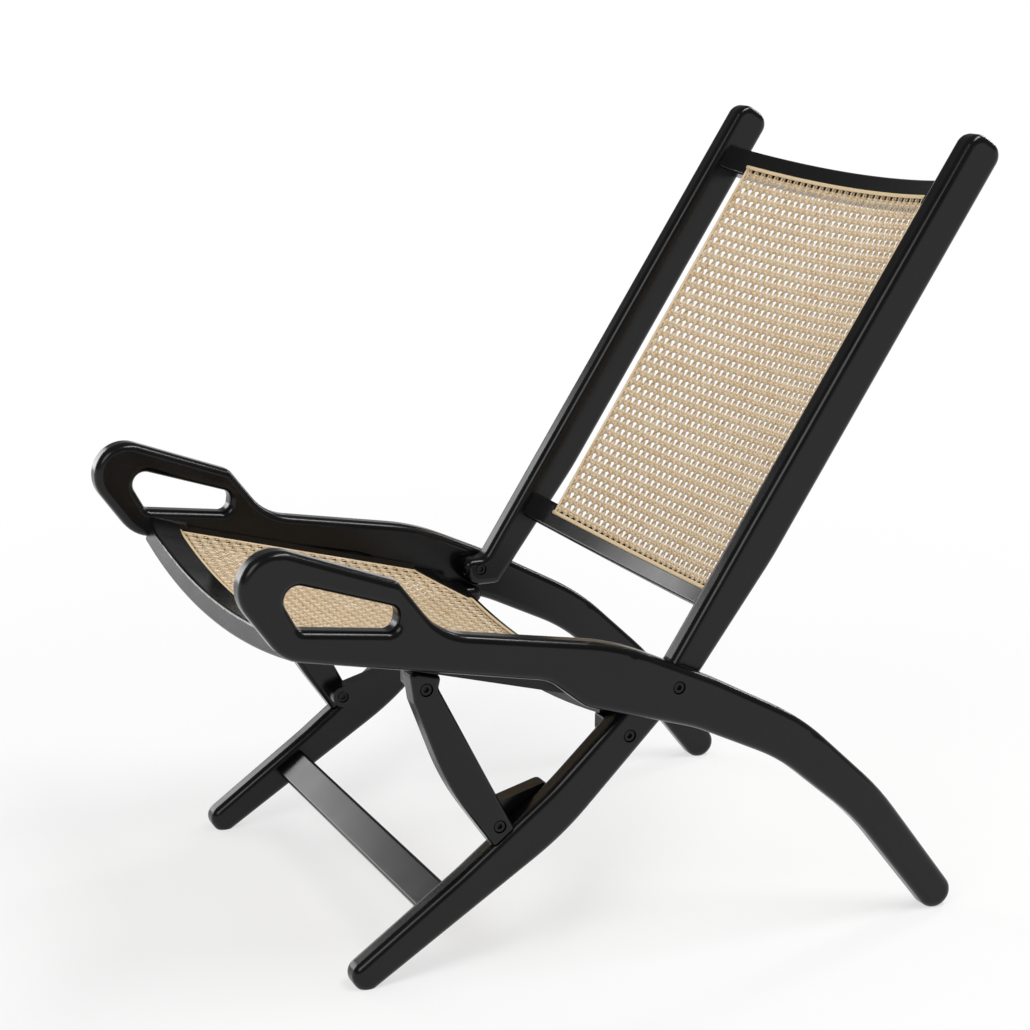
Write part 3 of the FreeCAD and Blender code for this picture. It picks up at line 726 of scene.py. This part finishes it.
    def stitches(self, side):
        """Thin cane sewn round the edge and its binders, two stitches for every pair across the panel."""
        bpy.ops.object.select_all(action="DESELECT")
        bpy.ops.mesh.primitive_torus_add(major_segments=12, minor_segments=5, major_radius=1.0,
                                         minor_radius=self.STITCH_SLIMNESS,
                                         rotation=(QUARTER_TURN, 0.0, 0.0))
        stitch = bpy.context.object
        bpy.ops.object.transform_apply(location=True, rotation=True, scale=True)
        width = self.sizes.binder_width
        size = (self.STITCH_REACH * width, self.sizes.stitch_width / (2 * self.STITCH_SLIMNESS),
                self.STITCH_RISE * self.thick)
        start = (side * (self.half - self.STITCH_MIDDLE * width), self.first_row + self.mesh / 2, 0.0)
        write_points(stitch, read_points(stitch) * size + start)
        step = self.mesh / 2
        repeat(stitch, (0.0, step, 0.0), int((self.length - self.panel.corner_length) // step) - 2)
        return stitch

    def binding(self):
        """Binders along the edges that no reed holds, sewn down with stitches."""
        made = []
        for side in (-1, 1):
            if self.panel.corner_width:
                made.append(self.corner_binder(side))
            # the seat's edges lie on a strip of wood, so they are bound on top only
            for face in ((1,) if self.panel.corner_width else (-1, 1)):
                made.append(self.edge_binder(side, face))
        for side in (-1, 1):
            made.append(self.stitches(side))
        edges = join(made, self.prefix + "_binding")
        x, y, _ = read_points(edges).T
        mark_grain(edges, x, y, BINDERS_FROM + np.sign(x))
        return edges


def weave(panel, prefix, node, body):
    """Weave a panel of cane, and lay it in its place."""
    colours = bpy.context.scene.chair_colours
    skin = get_material(split_rattan, "split_rattan_cane", colours.skin_shade)
    # the diagonals are painted darker than the other strands: painted shade for the brown shadows that fall
    # between the strands
    shaded_diagonal_cane = get_material(split_rattan, "split_rattan_cane_painted_shade", colours.diagonal_painted_shade)
    cane = Weave(panel, prefix)
    for make, material in ((cane.warp, skin), (cane.weft, skin), (cane.diagonals, shaded_diagonal_cane),
                           (cane.binding, skin)):
        piece = make()
        write_points(piece, read_points(piece) - (0.0, 0.0, cane.sizes.depth))
        lay_on(piece, panel)
        coat(piece, material)
        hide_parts(node)
        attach(piece, body)


def lay_reed(panel, prefix, node, body):
    """Press a crowned reed into each rebate, over the ends of the cane."""
    sizes = bpy.context.scene.chair_reed
    section = pressed_round(sizes.width, sizes.thickness)
    half = flat_half(panel)
    made = []
    for place in (panel.start + sizes.inset, panel.end - sizes.inset):
        piece = strand(prefix, section, spaced(2 * half, steps=40))
        x, y, z = read_points(piece).T
        # turned a quarter: along becomes across
        write_points(piece, np.column_stack([y, place - x, z - sizes.depth]))
        for side in (-1, 1):
            trim(piece, (side * (half - sizes.end_gap), 0.0, 0.0), (side, 0.0, 0.0))
        cut_corners(piece, panel, half)
        made.append(piece)
    reed = join(made, prefix)
    x, y, _ = read_points(reed).T
    # the two reeds lie more than this far apart, which gives each a number of its own
    apart = 0.2
    mark_grain(reed, y, x, REEDS_FROM + np.round(y / apart))
    lay_on(reed, panel)
    coat(reed, get_material(pressed_reed, "pressed_rattan_reed"))
    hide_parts(node)
    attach(reed, body)


def lay_floor(scene):
    """The studio's floor."""
    bpy.ops.object.select_all(action="DESELECT")
    bpy.ops.mesh.primitive_plane_add(size=scene.chair_stage.floor_size, location=(0.0, 0.0, 0.0))
    floor = bpy.context.object
    floor.name = "studio_floor"
    coat(floor, get_material(studio_paper, "studio_paper"))


def light_room(scene):
    """Soft light from all round, and the walls that the camera and the gloss see in its place."""
    world = scene.world or bpy.data.worlds.new("studio")
    scene.world = world
    world.use_nodes = True
    tree = world.node_tree
    tree.nodes.clear()
    seen = backdrop_share(tree)
    # white at the floor's edge, and the dim walls of the room from 12 degrees up
    way = add_node(tree, "ShaderNodeTexCoord")
    parts = add_node(tree, "ShaderNodeSeparateXYZ", {"Vector": way.outputs["Generated"]})
    height = add_node(tree, "ShaderNodeMapRange", {
        "Value": parts.outputs["Z"], "From Min": 0.02, "From Max": 0.2}, interpolation_type="SMOOTHSTEP")
    walls = add_node(tree, "ShaderNodeMix", {
        0: height.outputs[0], 6: WHITE, 7: paint(scene.chair_colours.room)}, data_type="RGBA")
    strength = scene.chair_stage.world_strength
    tint = add_node(tree, "ShaderNodeMix", {
        0: seen, 6: (strength, strength, strength, 1.0), 7: walls.outputs[2]}, data_type="RGBA")
    sky = add_node(tree, "ShaderNodeBackground", {"Color": tint.outputs[2], "Strength": 1.0})
    add_node(tree, "ShaderNodeOutputWorld", {"Surface": sky.outputs[0]})


def hang_softboxes(scene):
    """The lamps, all turned towards the chair."""
    middle = Vector(scene.chair_stage.target)
    for name, (place, wide, high, power) in SOFTBOXES.items():
        lamp = bpy.data.lights.new(name, "AREA")
        lamp.shape = "RECTANGLE"
        lamp.size = wide
        lamp.size_y = high
        lamp.energy = power
        holder = bpy.data.objects.new(name, lamp)
        scene.collection.objects.link(holder)
        holder.location = place
        holder.rotation_euler = (middle - Vector(place)).to_track_quat("-Z", "Y").to_euler()


def place_camera(scene):
    """The camera that took the right picture."""
    stage = scene.chair_stage
    lens = bpy.data.cameras.new("photo_camera")
    lens.sensor_width = 36.0
    lens.lens = stage.lens
    lens.shift_x = stage.shift_x
    lens.shift_y = stage.shift_y
    lens.clip_start = 0.1
    lens.clip_end = 50.0
    camera = bpy.data.objects.new("photo_camera", lens)
    scene.collection.objects.link(camera)
    a, e = stage.azimuth, stage.elevation
    back = Vector((math.sin(a) * math.cos(e), -math.cos(a) * math.cos(e), math.sin(e)))
    camera.location = Vector(stage.target) + back * stage.distance
    camera.rotation_euler = (-back).to_track_quat("-Z", "Y").to_euler()
    scene.camera = camera


class CHAIR_OT_lacquer_boards(bpy.types.Operator):
    """Spray every board black, with the pores along the board"""
    bl_idname = "chair.lacquer_boards"
    bl_label = "Lacquer Boards"

    def execute(self, context):
        for board, tilt in BOARD_TILTS.items():
            lacquer = get_material(lacquered_beech, "black_lacquered_beech_" + board,
                                   (math.radians(tilt), 0.0, 0.0))
            for side in ("_left", "_right"):
                coat(frame["nodes"][board + side], lacquer)
        across = get_material(lacquered_beech, "black_lacquered_beech_rails", (0.0, 0.0, QUARTER_TURN))
        for board in CROSS_BOARDS:
            coat(frame["nodes"][board], across)
        return {"FINISHED"}


class CHAIR_OT_fit_steel(bpy.types.Operator):
    """Give the bolts, sleeve nuts and washers their finish"""
    bl_idname = "chair.fit_steel"
    bl_label = "Fit Steel"

    def execute(self, context):
        for node in STEEL_NODES:
            coat(frame["nodes"][node], get_material(blackened_steel, "black_oxide_steel"))
        coat(frame["nodes"]["pivot_washers"], get_material(moulded_nylon, "moulded_black_nylon"))
        return {"FINISHED"}


class CHAIR_OT_weave_seat(bpy.types.Operator):
    """Weave the seat's cane between the front and the rear rail"""
    bl_idname = "chair.weave_seat"
    bl_label = "Weave Seat"

    def execute(self, context):
        weave(context.scene.chair_seat, "seat_weave", "seat_cane", "frame")
        return {"FINISHED"}


class CHAIR_OT_weave_back(bpy.types.Operator):
    """Weave the back's cane between its two rails"""
    bl_idname = "chair.weave_back"
    bl_label = "Weave Back"

    def execute(self, context):
        weave(context.scene.chair_back, "back_weave", "back_cane", "back")
        return {"FINISHED"}


class CHAIR_OT_fit_reed(bpy.types.Operator):
    """Press the reed splines into the rebates of the four rails"""
    bl_idname = "chair.fit_reed"
    bl_label = "Fit Reed"

    def execute(self, context):
        lay_reed(context.scene.chair_seat, "seat_reed", "seat_splines", "frame")
        lay_reed(context.scene.chair_back, "back_reed", "back_splines", "back")
        return {"FINISHED"}


class CHAIR_OT_set_stage(bpy.types.Operator):
    """Lay the pale floor and set up the world, the lamps and the camera"""
    bl_idname = "chair.set_stage"
    bl_label = "Set Stage"

    def execute(self, context):
        scene = context.scene
        scene.view_settings.view_transform = "Standard"
        lay_floor(scene)
        light_room(scene)
        hang_softboxes(scene)
        place_camera(scene)
        return {"FINISHED"}


class CHAIR_PT_panel(bpy.types.Panel):
    """Steps that dress the chair, in their order, and the sizes and colours that they use"""
    bl_idname = "CHAIR_PT_panel"
    bl_label = "Caned Folding Chair"
    bl_space_type = "VIEW_3D"
    bl_region_type = "UI"
    bl_category = "Chair"

    def draw(self, context):
        layout = self.layout
        for step in STEPS:
            layout.operator(step.bl_idname)
        for group in GROUPS:
            box = layout.box()
            settings = getattr(context.scene, group)
            for key in settings.bl_rna.properties.keys():
                if key not in ("name", "rna_type"):
                    box.prop(settings, key)


STEPS = (CHAIR_OT_lacquer_boards, CHAIR_OT_fit_steel, CHAIR_OT_weave_seat, CHAIR_OT_weave_back,
         CHAIR_OT_fit_reed, CHAIR_OT_set_stage)
GROUPS = {"chair_cane": CaneSizes, "chair_reed": ReedSizes, "chair_seat": SeatPlace,
          "chair_back": BackPlace, "chair_colours": FinishColours, "chair_stage": StageSizes}


def register():
    for group in GROUPS.values():
        bpy.utils.register_class(group)
    for step in STEPS:
        bpy.utils.register_class(step)
    bpy.utils.register_class(CHAIR_PT_panel)
    for key, group in GROUPS.items():
        setattr(bpy.types.Scene, key, PointerProperty(type=group))


def unregister():
    for key in GROUPS:
        delattr(bpy.types.Scene, key)
    for item in (CHAIR_PT_panel, *STEPS[::-1], *list(GROUPS.values())[::-1]):
        bpy.utils.unregister_class(item)


def main():
    register()
    bpy.ops.chair.lacquer_boards()
    bpy.ops.chair.fit_steel()
    bpy.ops.chair.weave_seat()
    bpy.ops.chair.weave_back()
    bpy.ops.chair.fit_reed()
    bpy.ops.chair.set_stage()


if __name__ == "__main__":
    main()
